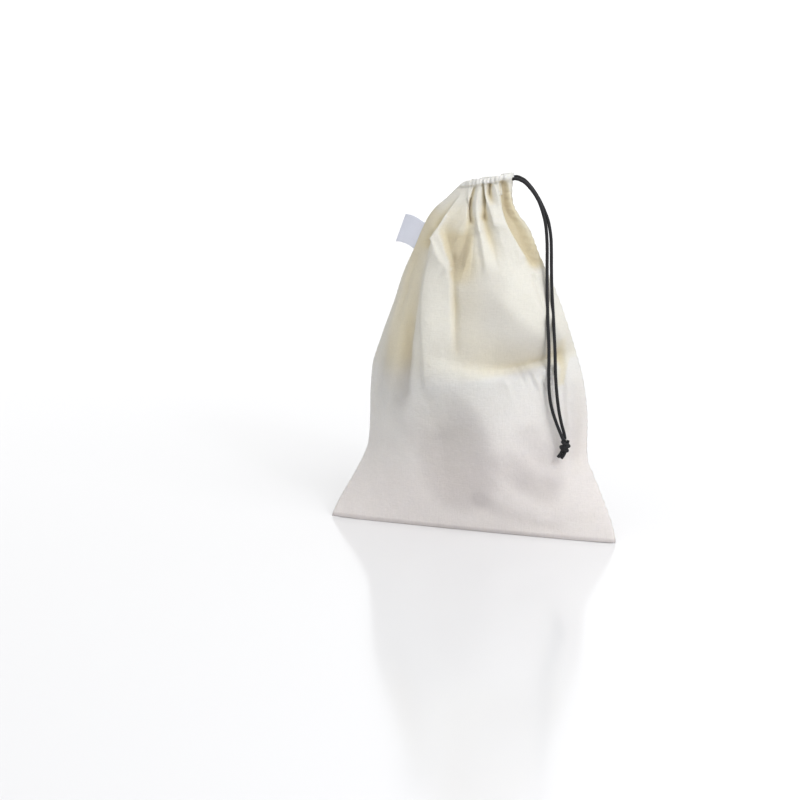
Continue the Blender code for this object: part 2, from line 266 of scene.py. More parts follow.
cord = {
    "width": 3.2,
    "strandsRound": 4,     # pairs of braid strands in each direction
    "lean": 1.75,          # radians that the strands turn in a millimetre
    "relief": 0.13,
    "ringStep": 0.32,
    "sides": 32,
    "tuck": 4.0,           # how far the cord reaches back into the tunnel
}

# routes of the two strands from the tunnel's right end down to the knot
strandRoutes = {
    "cordStrandLeft": [
        (31.7, -2.2, 339.4), (35.2, -2.7, 339.6), (39.3, -3.2, 338.6), (44.5, -3.4, 335.8),
        (51.2, -3.7, 328.9), (56, -4.1, 322.2), (59.2, -4.4, 316), (62.2, -4.8, 307.7),
        (64.6, -5.2, 298.7), (66.2, -5.8, 286.7), (67, -6.6, 275.1), (67.7, -8.5, 259.5),
        (68.8, -11.8, 243.3), (70.1, -15.5, 231.9), (71.5, -18.9, 220.6), (72.7, -21.9, 209.2),
        (74.2, -24.9, 197.9), (75.5, -27.3, 186.4), (76.4, -29.8, 175), (77.2, -32.6, 163.6),
        (77.8, -34.4, 154.4), (78.7, -35.8, 145.1), (80.3, -36.4, 134.6), (83, -36, 124),
        (86.8, -34.8, 112.8), (90.2, -33.7, 104), (92.4, -33.1, 98.6),
    ],
    "cordStrandRight": [
        (31.9, 2.3, 340.9), (35, 1.5, 341.3), (38.8, 0.9, 340.1), (43, 0.6, 337.8),
        (49.6, 0.2, 331.2), (55.4, 0, 323.1), (59.2, -0.4, 316.7), (62.7, -1.2, 310),
        (66.6, -2.6, 301), (69.6, -4.2, 288), (70.7, -5.2, 275.1), (71.4, -6.6, 259.4),
        (72.5, -8.8, 243), (73.8, -11.2, 231.5), (75.5, -14.4, 220.1), (77.2, -17.8, 208.8),
        (78.9, -21.4, 197.6), (80.6, -24.8, 186.3), (81.9, -27.8, 175), (83, -30.6, 163.6),
        (84.1, -32.2, 154.3), (85.2, -33.2, 145), (86.5, -33.2, 134.5), (88, -32.2, 123.9),
        (90.2, -30.8, 112.5), (92.3, -29.9, 104.6), (93.4, -29.6, 98.8),
    ],
}
strandNodes = {"cordStrandLeft": "cord_strand_left", "cordStrandRight": "cord_strand_right"}


def braidRelief(angle, far):
    # grains of the braid: where the two families of strands cross, one lies on top in turn
    n, k = cord["strandsRound"], cord["lean"]
    a, b = n * angle + k * far, n * angle - k * far
    top = (np.floor(a / math.pi) + np.floor(b / math.pi)) % 2 < 0.5
    across, lengthwise = np.where(top, a, b), np.where(top, b, a)
    grain = np.abs(np.sin(across)) ** 0.7 * np.abs(np.sin(lengthwise)) ** 0.3
    return grain - 0.6


def braidedTube(line):
    # points, faces and weave places of one run of cord, with closed ends
    width = cord["width"]
    sides, fronts = frames(line)
    far = placesAlong(line)
    angle = np.arange(cord["sides"]) * 2 * math.pi / cord["sides"]
    relief = braidRelief(angle[None, :], far[:, None])
    radius = (width / 2.0 - cord["relief"] * 0.4 + cord["relief"] * relief)[:, :, None]
    spoke = (sides[:, None, :] * np.cos(angle)[None, :, None]
             + fronts[:, None, :] * np.sin(angle)[None, :, None])
    rings = line[:, None, :] + spoke * radius
    count, around = rings.shape[:2]
    ids = np.arange(count * around).reshape(count, around)
    ids = np.concatenate([ids, ids[:, :1]], axis=1)
    points = np.concatenate([rings.reshape(-1, 3), line[:1], line[-1:]])
    faces = gridFaces(ids)
    first, last = count * around, count * around + 1
    for k in range(around):
        faces.append([first, int(ids[0, k + 1]), int(ids[0, k])])
        faces.append([last, int(ids[-1, k]), int(ids[-1, k + 1])])
    uv = np.stack(np.meshgrid(angle * width / 2.0, far), axis=2)
    uv = np.concatenate([uv.reshape(-1, 2), [[0, 0], [0, far[-1]]]])
    # painted shade: the braid's grooves are marked for a darker colour
    groove = np.concatenate([ramp(-relief.ravel() * 2.0), [1.0, 1.0]])
    return points, faces, uv, groove


def joinRuns(name, runs):
    points, faces, uvs, grooves, base = [], [], [], [], 0
    for runPoints, runFaces, uv, groove in runs:
        points.append(runPoints)
        faces += [[base + index for index in face] for face in runFaces]
        uvs.append(uv)
        grooves.append(groove)
        base += len(runPoints)
    return meshPiece(name, np.concatenate(points), faces, np.concatenate(uvs),
                     {"groove": np.concatenate(grooves)})


def addStrand(name, material):
    route = strandRoutes[name]
    start = np.array(route[0])
    tucked = [(start[0] - cord["tuck"], 0.3 * start[1], start[2] - 0.6)] + route
    line = smoothRoute(tucked, cord["ringStep"])
    piece = joinRuns(name, [braidedTube(line)])
    piece.data.materials.append(material)
    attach(piece, "root")
    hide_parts(strandNodes[name])
    return piece, line, round(float(placesAlong(line)[-1]) * mm, 3)


knot = {
    "heart": (94.0, -31.5, 92.4),   # middle of the knot
    "foot": (92.9, -31.8, 86.6),
    "ringStep": 0.45,
    "overlap": 0.35,                # radians that each turn goes beyond a whole one
    "climb": 0.12,                  # down the knot in each radian of a turn
}

# runs of cord inside the knot, in the knot's own sideways, forward and downward millimetres
knotRuns = [
    [(-1.7, 0.2, -6.2), (-1.6, 0.3, -3), (-1.2, 0.2, 0), (-1.5, 0.2, 3.2), (-1.6, 0.4, 5.4)],
    [(1.7, 0.2, -6), (1.6, 0.1, -3), (1.3, 0, 0), (1.2, 0.1, 3.2), (1.4, 0, 5.4)],
]
knotTurns = [  # centre along the knot, radius sideways, radius forward, slope, start
    (-2.6, 3.2, 2.7, 0.34, 0.3),
    (0.2, 3.7, 3, -0.40, 1.6),
    (2.8, 3.1, 2.6, 0.26, 3.4),
]
knotTails = [
    [(-1.3, 0.4, 3.6), (-2.3, 0.7, 8), (-4, 1.1, 12.2)],
    [(1.6, 0, 3.6), (0.9, 0.2, 8.2), (-0.8, 0.5, 12.5)],
]


def knotPlaces(run):
    heart, foot = np.array(knot["heart"]), np.array(knot["foot"])
    down = (foot - heart) / norm(foot - heart)
    front = np.array([0.0, -1.0, 0.0])
    side = np.cross(front, down)
    side /= norm(side) * np.sign(side[0])
    return [tuple(heart + side * s + front * f + down * d) for s, f, d in run]


def addKnot(material):
    routes = knotRuns + knotTails
    for middle, wide, deep, slope, start in knotTurns:
        routes.append([(wide * math.cos(start + t), deep * math.sin(start + t),
                        middle + slope * wide * math.cos(start + t) + knot["climb"] * t)
                       for t in np.linspace(0.0, 2.0 * math.pi + knot["overlap"], 26)])
    piece = joinRuns("cordKnot", [braidedTube(smoothRoute(knotPlaces(route), knot["ringStep"]))
                                  for route in routes])
    piece.data.materials.append(material)
    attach(piece, "root")
    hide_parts("cord_knot")
    return piece


cloth = {
    "flatWidth": 290.0,
    "flatLength": 372.0,
    "thickness": 0.7,
    "seamGap": 0.3,
    "seamForward": 28.0,    # the bottom seam lies this far in front of the middle
    "seamFade": 120.0,
    "tunnelTilt": 4.5,      # the tunnel's right end stands this far above the middle
    "tiltStart": 262.0,
    "tiltSpan": 78.0,
    "crest": 335.6,         # height where the tunnel starts to round over
    "crestRise": 4.7,
    "rollFoot": 335.4,
    "hemDepth": 14.0,       # how far the hem reaches down inside
    "notchWidth": 0.95,     # of the gathers' notches in the tunnel
    "notchDrop": 0.45,      # how much of a gather's depth also lowers the tunnel's top
    "earFront": 1.8,        # how far the bottom corners lift off the ground
    "earBack": 2.7,
    "edgeFade": 0.15,
    "edgeRound": 2.2,
    "floorRound": 0.10,     # share of the base that curves up into the wall
    "columns": 180,
    "warmShadeDepth": 16.0,      # painted warm shade in a trough grows with its depth over this
    "bounceLilacTop": 150.0,      # painted lilac light from the floor on the filled part grows downwards from here
    "bounceLilacSpan": 90.0,
}

# the cloth at each height: side edges, depths, how square (2 is oval), round wall at the seam
Level = namedtuple("Level", "height left right front back square wall")
levels = [Level(*row) for row in [
    (0, -143, 144, 2.5, 62, 2.2, 1.5),
    (5, -142, 143, 6.5, 64, 2.2, 1.5),
    (15, -138.5, 139.5, 14, 65, 2.2, 1.5),
    (40, -126, 127, 31, 62, 2.2, 1.5),
    (62, -116, 115.5, 42.5, 59.5, 2.3, 1.5),
    (72, -113, 110.5, 46.5, 58.5, 2.3, 1.5),
    (88, -112, 108.5, 51.5, 57.5, 2.4, 1.5),
    (112, -112, 108, 55.5, 56.5, 2.4, 1.5),
    (148, -110, 103.5, 56.5, 56, 2.4, 1.5),
    (178, -101, 95, 52.5, 53.5, 2.4, 1.5),
    (219, -86, 81, 42.5, 45, 2.3, 1.5),
    (242, -78.6, 71.5, 36.5, 38.5, 2.3, 1.5),
    (267, -67.6, 58.5, 29.5, 31, 2.3, 1.5),
    (292, -57.4, 47, 22, 22.5, 2.2, 1.6),
    (303, -52, 37.4, 18, 18, 2.2, 2.2),
    (313, -44.4, 31.6, 13.5, 13.5, 2.2, 3.2),
    (322, -34.4, 30.2, 9, 9, 2.2, 4.2),
    (328, -28.6, 30.4, 6.5, 6.5, 2.2, 4.6),
    (332.6, -24.2, 30.8, 5.4, 5.4, 2.2, 4.6),
    (334.6, -22, 31.6, 5.2, 5.2, 2.2, 6.4),
    (336.5, -20, 31.8, 5, 5, 2.2, 6.4),
    (340, -15.5, 31.5, 5, 5, 2.2, 6),
]]

def levelAt(name, heights):
    # one of the levels' measures at these heights
    return monotone([row.height for row in levels], [getattr(row, name) for row in levels], heights)


# Folds, each along a bent line through three places seen from the front. left and right are
# its half widths on either side (below and above, where it runs across), grow widens the far
# end, push1 to push3 are how far the cloth comes out, crisp is 2 for a soft fold and near 1
# for a sharp one, and lean carries the crest sideways.
Fold = namedtuple("Fold", "x1 z1 x2 z2 x3 z3 left right grow push1 push2 push3 crisp lean")
frontFolds = [Fold(*row) for row in [
    # pleats that fan out from the tunnel, left to right
    (-22, 319, -32.6, 303, -46, 277, 4.2, 1.1, 1.4, -0.4, -3.8, -4.4, 1.5, 0.3),
    (-18, 322, -28.4, 302.5, -37, 284, 1.2, 3.4, 1.2, 1, 4, 4.4, 1.5, -0.3),
    (-25, 303, -30, 286, -18, 259, 1.6, 24, 1, -1, -7.8, -3.6, 1.5, 0),
    (-3.4, 331, -5.4, 317, -3.6, 299, 1.2, 1.1, 1.3, -2.4, -6.6, -3.4, 1.6, 0.5),
    (-10.5, 320, -7.8, 312, -6.4, 297, 1, 1, 1.2, -1.4, -3.4, -1.6, 1.6, 0),
    (-9.5, 330, -8.4, 321, -7.6, 314, 1.6, 1, 1, 0.6, 1.8, 0.6, 1.7, 0),
    (1.6, 333, 0.8, 314, 4.6, 294, 2.6, 2.6, 1.2, 1.4, 3.2, 3.6, 2.6, 0),
    (3.8, 297, 8.4, 281, 15, 256, 1.9, 4.2, 1.7, 3.4, 5.4, 1.6, 1.8, 0.2),
    (-4.5, 300, -7, 284, -14, 264, 3, 6, 1, -1.4, -2.4, -1.6, 1.7, 0),
    (4.6, 334, 6, 320, 7.6, 302, 1.1, 1.7, 1.7, -4, -5.8, -2.8, 1.6, -0.3),
    (7.8, 303, 14, 287, 23, 270, 2.8, 4, 1.3, -3.4, -3.4, -1, 2, 0),
    (7, 334, 9.4, 323, 18.5, 299, 1.1, 2.6, 2.4, 2.4, 3.6, 4, 1.8, -0.5),
    (10.8, 334, 11.2, 327, 14.6, 316, 1.1, 1.4, 1.2, -4.6, -5.6, -1, 1.6, 0),
    (14.6, 334, 16.8, 328, 18, 317, 1.8, 1.4, 1.2, 1.8, 3.4, 1.6, 1.9, 0.4),
    (18, 322, 25.6, 299, 42.5, 270, 5.5, 1.2, 1.7, 2, 4.8, 4.4, 1.7, 0.6),
    (22, 334, 29.6, 304, 55, 264, 1.6, 5.4, 2.6, -5, -7.5, -6.5, 3.4, 0),
    (50, 262, 58, 252, 69, 249, 3.5, 3, 1.2, 1, 2.4, 1, 1.8, 0),
    (27, 324, 30, 312, 36, 296, 0.9, 1, 1.4, 0.3, 0.9, 0.3, 1.7, 0),
    # long soft folds down the upper half
    (-38, 284, -44, 230, -36, 150, 4, 17, 1.2, 3, 6.5, 3.5, 2.2, 0),
    (-53, 252, -60, 200, -63, 138, 9, 4.2, 1.2, -1, -5.6, -5, 2, 0),
    (-72, 250, -82, 216, -92, 184, 3, 4, 1.2, 0.6, 1.8, 0.8, 2, 0),
    (-62, 262, -70, 238, -80, 204, 4, 4, 1.3, -0.8, -2.4, -1.2, 2, 0),
    (-40, 289, -34, 272, -22, 256, 8, 1.6, 1.1, 3, 4.4, 2.6, 1.5, 0),
    (-19.5, 264, -14.5, 230, -9.5, 182, 2, 4, 1.4, -1.4, -4, -2.2, 1.7, 0),
    (12, 268, 45, 238, 78, 205, 32, 17, 1.1, 1.2, 6, 7, 1.8, 0),
    (14, 290, 21, 268, 29, 244, 6, 5, 1, -1.2, -2.8, -0.8, 1.8, 0),
    (46, 244, 56, 232, 68, 216, 5, 4, 1.2, 0.4, 1.4, 0.8, 1.8, 0),
    (55, 250, 62, 230, 70, 204, 1.3, 1.6, 1.2, -1.2, -2.2, -0.8, 1.6, 0),
    (64, 214, 72, 200, 80, 176, 3, 4, 1.2, -0.6, -2.4, -2.4, 1.8, 0),
    (76, 214, 84, 194, 90, 166, 3, 3.4, 1.2, 0.8, 2.2, 1.4, 1.8, 0),
    # the cloth falls in over what fills the lower half
    (-22, 169, 36, 164.5, 80, 172.5, 4.4, 34, 1, -0.6, -8, -7, 1.7, 0),
    (22, 161.5, 48, 164.8, 78, 171, 1.4, 3.6, 1, -0.4, -2.2, -2.4, 1.7, 0),
    (0, 152, 44, 158, 78, 165.5, 12, 3.2, 1, 0.3, 2, 2.4, 1.8, 0),
    (58, 170, 65, 156, 74, 138, 2.4, 2, 1.2, 1.2, 2.2, 0.8, 1.7, 0),
    (58, 166, 63, 155, 68, 143, 1.5, 1.5, 1.2, -1, -3, -0.6, 1.7, 0),
    (68, 165, 73, 149, 76, 134, 1.8, 1.5, 1.2, -0.8, -3.2, -0.8, 1.7, 0),
    (63, 167, 68.5, 157, 73, 145, 1.5, 1.5, 1.2, 0.5, 1.8, 0.5, 1.7, 0),
    (50, 168, 53, 161, 57, 150, 1.2, 1.4, 1.2, -0.6, -2, -0.5, 1.7, 0),
    (36, 164, 42, 150, 47, 138, 2.6, 2.2, 1.2, 0.5, 1.2, 0.4, 1.7, 0),
    (86, 188, 88.6, 150, 92, 102, 2.6, 1.3, 1.2, -1, -2.4, -1.6, 1.6, 0),
    (93, 176, 97, 142, 98, 104, 2.6, 3, 1.2, 0.8, 1.8, 1, 1.8, 0),
    # over what is inside it lies in broad facets
    (-32, 128, -24, 96, -20, 58, 22, 36, 1, -3, -8, -5, 2, 0),
    (70, 124, 41, 95, 17, 56, 16, 9, 1, 0.8, 2.2, 1.2, 1.6, 0),
    (50, 68, 66, 44, 84, 30, 14, 14, 1, -0.6, -2, -0.8, 2, 0),
    # and tucks under above the floor
    (14, 26, 46, 15, 78, 9, 12, 7, 1, -0.4, -1.2, -1.2, 1.8, 0),
    (78, 9, 98, 15, 122, 24, 12, 6, 1, -1.2, -1, -0.4, 1.8, 0),
    (112, 88, 103, 77, 109, 58, 5, 4, 1, 1.4, 3, 1, 1.7, 0),
    (-92, 178, -101, 140, -102, 104, 4.5, 5.5, 1.2, -0.8, -3, -2, 2, 0),
    (-60, 170, -74, 140, -80, 100, 8, 9, 1.2, -1.2, -2.4, -0.8, 2, 0),
]]

# where the gathers cross the tunnel: place, depth of the notch, lean of its foot
gathers = [
    (-17.5, 0.7, -0.5), (-13.6, 1.7, -0.4), (-9.8, 1.1, -0.3), (-6.2, 2, -0.2), (-2.6, 1.7, 0),
    (1.2, 0.9, 0.1), (4.6, 2.4, 0.2), (8.2, 1.3, 0.2), (11.6, 2.1, 0.1), (15.8, 1.9, 0.5),
    (19.6, 0.6, 0.2), (23.4, 1.6, 0.1), (28.4, 0.9, 0.2),
]
# along the roll: place, how far its top stands above the even line, how far it stands out
rollLumps = [
    (-26, 0, 0), (-18, 0.3, 0.1), (-13, -0.2, 0.3), (-9, 0.4, 0.6), (-5.4, -0.3, 0.7),
    (-1.5, 0.3, 1.3), (2.6, -0.2, 1.3), (6.6, -0.8, 2), (10, -1.2, 1.8), (13.6, -1.4, 2.2),
    (16.6, 0.4, 2.8), (20.5, 1, 3), (24, 1, 2.2), (28, 0.7, 2.4), (32.5, -0.8, 1.2),
]
backFolds = [Fold(*row) for row in [
    (-20, 336, -33, 298, -45, 268, 2.4, 3, 2.4, -2.4, -3, -4, 1.8, 0),
    (-12, 338, -19, 304, -28, 272, 2, 2.6, 2.2, 2, 2.6, 2.6, 1.8, 0.4),
    (-5, 340, -8, 308, -12, 262, 1.6, 2.2, 3, -3, -3.4, -4, 1.6, 0),
    (1, 340, 2, 308, 4, 280, 2, 2.2, 2, 2.2, 2.6, 2.2, 1.8, -0.4),
    (7, 341, 10, 308, 18, 270, 1.6, 2.2, 3, -3, -3.2, -3.4, 1.6, 0),
    (13, 342, 19, 310, 32, 282, 2, 2.2, 2.4, 2.2, 2.6, 2.6, 1.8, 0.4),
    (20, 342, 28, 306, 44, 266, 1.8, 2.4, 3.2, -2.8, -3.4, -4.6, 1.6, 0),
    (27, 343, 33, 316, 44, 292, 1.4, 2, 1.8, 1, 1.4, 1, 1.8, 0),
    (30, 252, 22, 214, 10, 178, 5, 7, 1.4, -2.4, -3, -1.6, 1.9, 0),
    (-48, 246, -42, 210, -44, 160, 6, 9, 1.3, 2.6, 3.4, 2, 1.9, 0),
    (-10, 262, -16, 226, -12, 186, 4, 5, 1.5, -1.6, -2.6, -1, 1.9, 0),
    (52, 258, 60, 226, 64, 196, 4, 6, 1.4, 1.2, 2.4, 1.4, 1.9, 0),
    (-60, 176, -10, 168, 40, 180, 9, 7, 1, -2.6, -3.2, -3, 2, 0),
    (-56, 162, -10, 154, 42, 166, 8, 4, 1, 1.4, 2.4, 1.6, 1.9, 0),
    (-70, 44, 0, 26, 70, 40, 7, 5, 1, -1.6, -2.4, -1.6, 1.8, 0),
    (-96, 170, -101, 140, -102, 104, 4.5, 5.5, 1.2, -0.8, -1.8, -1, 2, 0),
    (84, 196, 95, 150, 98, 104, 5, 4.5, 1.2, -0.8, -1.8, -1, 2, 0),
]]

# painted shade, warm and browner, in troughs and on flanks turned from the light where the cloth hangs
# free: along a bent line as a fold's, and browner above 1
Tint = namedtuple("Tint", "x1 z1 x2 z2 x3 z3 left right grow tone1 tone2 tone3 crisp")
frontTints = [Tint(*row) for row in [
    (22.4, 335, 30, 304, 54, 264, 2.2, 4.3, 2.6, 1.35, 1.1, 1, 2.8),
    (-25, 303, -31, 286, -18, 256, 1.5, 27, 1, 0.3, 1, 0.75, 4),
    (-3, 300, -5, 284, -7, 262, 6, 5, 1.1, 0.3, 0.65, 0.4, 3),
    (-6, 256, -2, 224, 3, 196, 8, 17, 1, 0.1, 0.3, 0.15, 2.5),
    (-19, 266, -14, 228, -9, 182, 2.6, 5, 1.5, 0.5, 0.55, 0.1, 2),
    (7.6, 306, 13.4, 288, 23, 268, 2.6, 4.4, 1.3, 0.7, 0.6, 0.1, 2),
    (11.4, 335, 11.6, 328, 14.4, 317, 1.4, 1.6, 1.2, 1.6, 1.6, 0.3, 2),
    (4.8, 335, 6, 320, 7.6, 303, 1.3, 1.6, 1.6, 1.3, 1.1, 0.7, 2),
    (-3.4, 330, -5.4, 316, -3.6, 300, 1.4, 1.3, 1.4, 0.6, 1.7, 1.2, 2),
    (-21, 320, -32.6, 303, -47, 275, 4.6, 1.3, 1.5, 0.1, 0.7, 0.6, 1.8),
    (-52, 302, -68, 236, -82, 150, 12, 15.5, 1.1, 0.7, 0.6, 0.75, 3.6),
    (-54, 292, -60, 274, -66, 258, 10, 7, 1, 0.1, 0.2, 0.1, 2.5),
    (-63, 204, -63, 182, -61, 156, 7, 6, 1, 0.1, 0.35, 0.1, 2),
    (-24, 176, 40, 170, 84, 179, 4, 14, 1, 0.05, 0.14, 0.12, 2),
    (16, 164, 48, 168, 80, 175, 2.4, 4.4, 1, 0.05, 0.3, 0.3, 2),
    (84, 188, 85.5, 168, 87, 150, 3, 3.2, 1, 0.4, 0.75, 0.5, 2.4),
    (96, 160, 101, 120, 101, 70, 3.4, 8, 1.2, 0.2, 0.35, 0.3, 2),
]]
# painted shade and shadow: darker patches where something dark inside shows through and where shadows
# fall over the lower half
paintedShadePatches = [Tint(*row) for row in [
    (40, 74, 60, 57, 78, 48, 14, 14, 1, 0.4, 0.8, 0.5, 4),
    (62, 104, 76, 82, 86, 60, 12, 9, 1, 0.4, 0.6, 0.4, 3),
    (98, 146, 100, 112, 99, 82, 5, 7, 1, 0.3, 0.5, 0.4, 2.5),
    (-46, 132, -14, 104, -2, 60, 44, 38, 1, 0.25, 1, 0.7, 8),
    (14, 34, 40, 23, 70, 16, 8, 9, 1, 0.6, 0.3, 0.1, 3),
    # and where the cloth turns away from the light
    (-26, 284, -18, 274, -14, 262, 12, 12, 0.8, 0.2, 0.35, 0.4, 3),
    (-2, 256, 28, 222, 60, 190, 30, 10, 1, 0.35, 0.8, 0.65, 3),
    (-1, 240, -2, 216, 0, 190, 6, 8, 1, 0.1, 0.2, 0.1, 2.5),
    (-20, 178, 36, 172, 82, 180, 5, 22, 1, 0.4, 0.5, 0.6, 2.5),
    (42, 162, 55, 162.5, 72, 165, 5, 4, 1, 0.3, 0.8, 0.4, 2.5),
    (-60, 196, -62, 160, -66, 130, 9, 8, 1.2, 0.2, 0.65, 0.6, 2.5),
    (-90, 190, -90, 160, -92, 130, 14, 20, 1, 0.1, 0.5, 0.4, 2),
    (12, 262, 20, 254, 30, 240, 8, 6, 1, 0.2, 0.5, 0.3, 2.5),
]]
# lower edge of the free cloth: place, height, how softly it goes over
shelfLine = [
    (-110, 142, 34), (-60, 142, 29), (-20, 144, 26), (10, 151, 8), (34, 157, 5), (54, 161.5, 4.6),
    (78, 167, 4), (82, 146, 5), (88, 146, 6), (91.5, 170, 6), (110, 174, 7),
]
backTints = [Tint(*row) for row in [
    (-20, 336, -33, 298, -45, 262, 3, 4, 2.2, 0.6, 0.8, 0.5, 2),
    (-5, 338, -8, 308, -12, 250, 2.4, 3, 2.6, 0.7, 0.8, 0.4, 2),
    (8, 338, 12, 306, 20, 258, 2.4, 3, 2.6, 0.7, 0.8, 0.4, 2),
    (22, 338, 30, 304, 48, 256, 3, 4, 2.4, 0.6, 0.8, 0.5, 2),
    (-60, 182, -10, 176, 40, 186, 8, 40, 1, 0.1, 0.2, 0.1, 1.8),
]]

creases = {
    "seed": 11,
    "fanCount": 46,         # fine creases that fan out under the tunnel
    "looseCount": 150,      # short ones all over the body
    "clear": 14.0,          # how far from its line a small crease still counts
    "swells": [(26.0, 0.55), (11.0, 0.1925)],   # size and depth of the cloth's slow unevenness
    "puckerStep": 7.4,      # between the stitch puckers along the side seams
    "puckerDepth": 0.45,
    "puckerReach": 5.0,     # from the seam into the cloth
    "puckerDrift": 17.0,    # over this height the steps grow and shrink
}


def monotone(places, values, wanted):
    # a smooth curve through the table's rows that never overshoots them
    places, values = np.array(places, float), np.array(values, float)
    rise = np.diff(values) / np.diff(places)
    slope = np.zeros(len(values))
    slope[0], slope[-1] = rise[0], rise[-1]
    for i in range(1, len(values) - 1):
        if rise[i - 1] * rise[i] > 0.0:
            slope[i] = 2.0 * rise[i - 1] * rise[i] / (rise[i - 1] + rise[i])
    wanted = np.clip(wanted, places[0], places[-1])
    low = np.clip(np.searchsorted(places, wanted, "right") - 1, 0, len(places) - 2)
    span = places[low + 1] - places[low]
    t = (wanted - places[low]) / span
    start = values[low] + t * t * (3.0 - 2.0 * t) * (values[low + 1] - values[low])
    return start + t * (1.0 - t) * span * ((1.0 - t) * slope[low] - t * slope[low + 1])


def softNoise(u, v, size, rng):
    # rolling unevenness with bumps about this size
    lattice = rng.uniform(-1.0, 1.0, (160, 160))
    x, y = u / size + 40.3, v / size + 40.7
    i, j = np.floor(x).astype(int), np.floor(y).astype(int)
    s, t = softRamp(x - i), softRamp(y - j)
    i, j = i % 159, j % 159
    low = lattice[i, j] * (1 - s) + lattice[i + 1, j] * s
    high = lattice[i, j + 1] * (1 - s) + lattice[i + 1, j + 1] * s
    return low * (1 - t) + high * t


def foldProfile(x, z, fold):
    # how near each place is to the fold's crest, times its push there
    line = smoothRoute([(fold.x1, fold.z1, 0), (fold.x2, fold.z2, 0), (fold.x3, fold.z3, 0)],
                       math.dist((fold.x1, fold.z1), (fold.x3, fold.z3)) / 14.0)[:, :2]
    pieces = len(line) - 1
    aways, sides, shares = [], [], []
    for k in range(pieces):
        (ax, az), (bx, bz) = line[k], line[k + 1]
        dx, dz = bx - ax, bz - az
        t = ramp(((x - ax) * dx + (z - az) * dz) / (dx * dx + dz * dz))
        ox, oz = x - ax - t * dx, z - az - t * dz
        aways.append(np.hypot(ox, oz))
        sides.append((dx * oz - dz * ox) / (math.hypot(dx, dz) * np.maximum(np.hypot(ox, oz), 1e-6)))
        shares.append((k + t) / pieces)
    aways, sides, shares = np.array(aways), np.array(sides), np.array(shares)
    nearest = np.argmin(aways, axis=0)[None]
    onRight = 0.5 + 0.5 * np.take_along_axis(sides, nearest, axis=0)[0]   # turns over past the ends
    # stretches of the line that lie about as near count too, so a wide fold bends smoothly
    blend = 0.1 * (fold.left + fold.right) / 2.0 + 0.05
    weight = np.exp(-(aways - np.take_along_axis(aways, nearest, axis=0)) / blend)
    weight /= weight.sum(axis=0)
    away, share = (weight * aways).sum(axis=0), (weight * shares).sum(axis=0)
    width = fold.left + (fold.right - fold.left) * onRight
    width = width * (1.0 + (fold.grow - 1.0) * share)
    value = np.interp(share, [0.0, 0.5, 1.0], fold[9:12])
    return value * np.exp(-((away / width) ** fold.crisp))


def tunnelGathers(x, z):
    # the notches of the gathered tunnel and the round bumps between them
    push = np.zeros(x.shape)
    for place, depth, lean in gathers:
        away = x - place - lean * (340.0 - z) * 0.2
        low = 331.0 + cloth["tunnelTilt"] * place / 32.0
        bump = 0.32 * np.exp(-(away / 3.0) ** 2) - np.exp(-(away / cloth["notchWidth"]) ** 2)
        push += depth * bump * ramp((z - low) / 3.0)
    return push


def tunnelRoll(x, height):
    # how far the roll of the tunnel stands out, the stitched groove under it, and its top line
    places, rises, outs = zip(*rollLumps)
    foot = (height - cloth["rollFoot"]) / 1.5
    out = monotone(places, outs, x) * (0.5 + 0.5 * np.tanh(foot))
    depth = np.interp(x, [-10.0, 4.0, 14.0], [0.0, 0.5, 1.2])
    groove = depth * np.exp(-((height - cloth["rollFoot"] + 1.1) / 0.9) ** 2)
    return out - groove, monotone(places, rises, x)


def smallCreases(rng):
    # short creases: some fan out under the tunnel, the rest lie loosely over the body
    made = []
    for _ in range(creases["fanCount"]):
        aim, top = rng.uniform(-38.0, 34.0), rng.uniform(268.0, 326.0)
        x = 7.0 + (340.0 - top) * math.tan(math.radians(aim))
        run = rng.uniform(12.0, 34.0)
        slope = math.tan(math.radians(aim + rng.uniform(-10.0, 10.0)))
        push = rng.uniform(0.25, 0.75) * rng.choice([-1.0, 1.0])
        made.append(Fold(x, top, x + slope * run * 0.5 + rng.uniform(-1, 1), top - run * 0.5,
                         x + slope * run, top - run, rng.uniform(0.9, 2.2),
                         rng.uniform(0.9, 2.2), 1.4, push * 0.3, push, push * 0.2, 1.7, 0.0))
    for _ in range(creases["looseCount"]):
        x, z = rng.uniform(-110.0, 110.0), rng.uniform(14.0, 262.0)
        turn = rng.uniform(-0.9, 0.9) if z > 180.0 else rng.uniform(-1.5, 1.5)
        run = rng.uniform(8.0, 26.0)
        push = rng.uniform(0.08, 0.34) * rng.choice([-1.0, 1.0])
        dx, dz = math.sin(turn) * run, -math.cos(turn) * run
        made.append(Fold(x, z, x + dx * 0.5 + rng.uniform(-2, 2), z + dz * 0.5 + rng.uniform(-1, 1),
                         x + dx, z + dz, rng.uniform(1.2, 3.6), rng.uniform(1.2, 3.6), 1.2,
                         push * 0.3, push, push * 0.2, 1.8, 0.0))
    return made


def panelRows(side):
    # each row: height, share of the base's depth, and how far over the crest it is
    floorRows, roundRows, bodyStep = (3, 4, 1.6) if side < 0 else (16, 8, 1.9)
    flat = 1.0 - cloth["floorRound"]
    rows = [(0.0, flat * k / floorRows, 0.0) for k in range(floorRows)]
    for k in range(roundRows + 1):
        t = k / roundRows
        rows.append((5.0 * t * t, 1.0 - cloth["floorRound"] * (1.0 - t) ** 2, 0.0))
    for start, end, step in ((5.0, 250.0, bodyStep), (250.0, 300.0, 1.3), (300.0, cloth["crest"], 0.9)):
        count = round((end - start) / step)
        rows += [(start + (end - start) * k / count, 1.0, 0.0) for k in range(1, count + 1)]
    for k in range(1, 11):
        angle = math.pi * k / 10
        rows.append((cloth["crest"] + cloth["crestRise"] * math.sin(angle), 1.0,
                     (1.0 - math.cos(angle)) / 2.0))
    rows += [(cloth["crest"] - cloth["hemDepth"] * k / 7, 1.0, 1.0) for k in range(1, 8)]
    return np.array(rows)


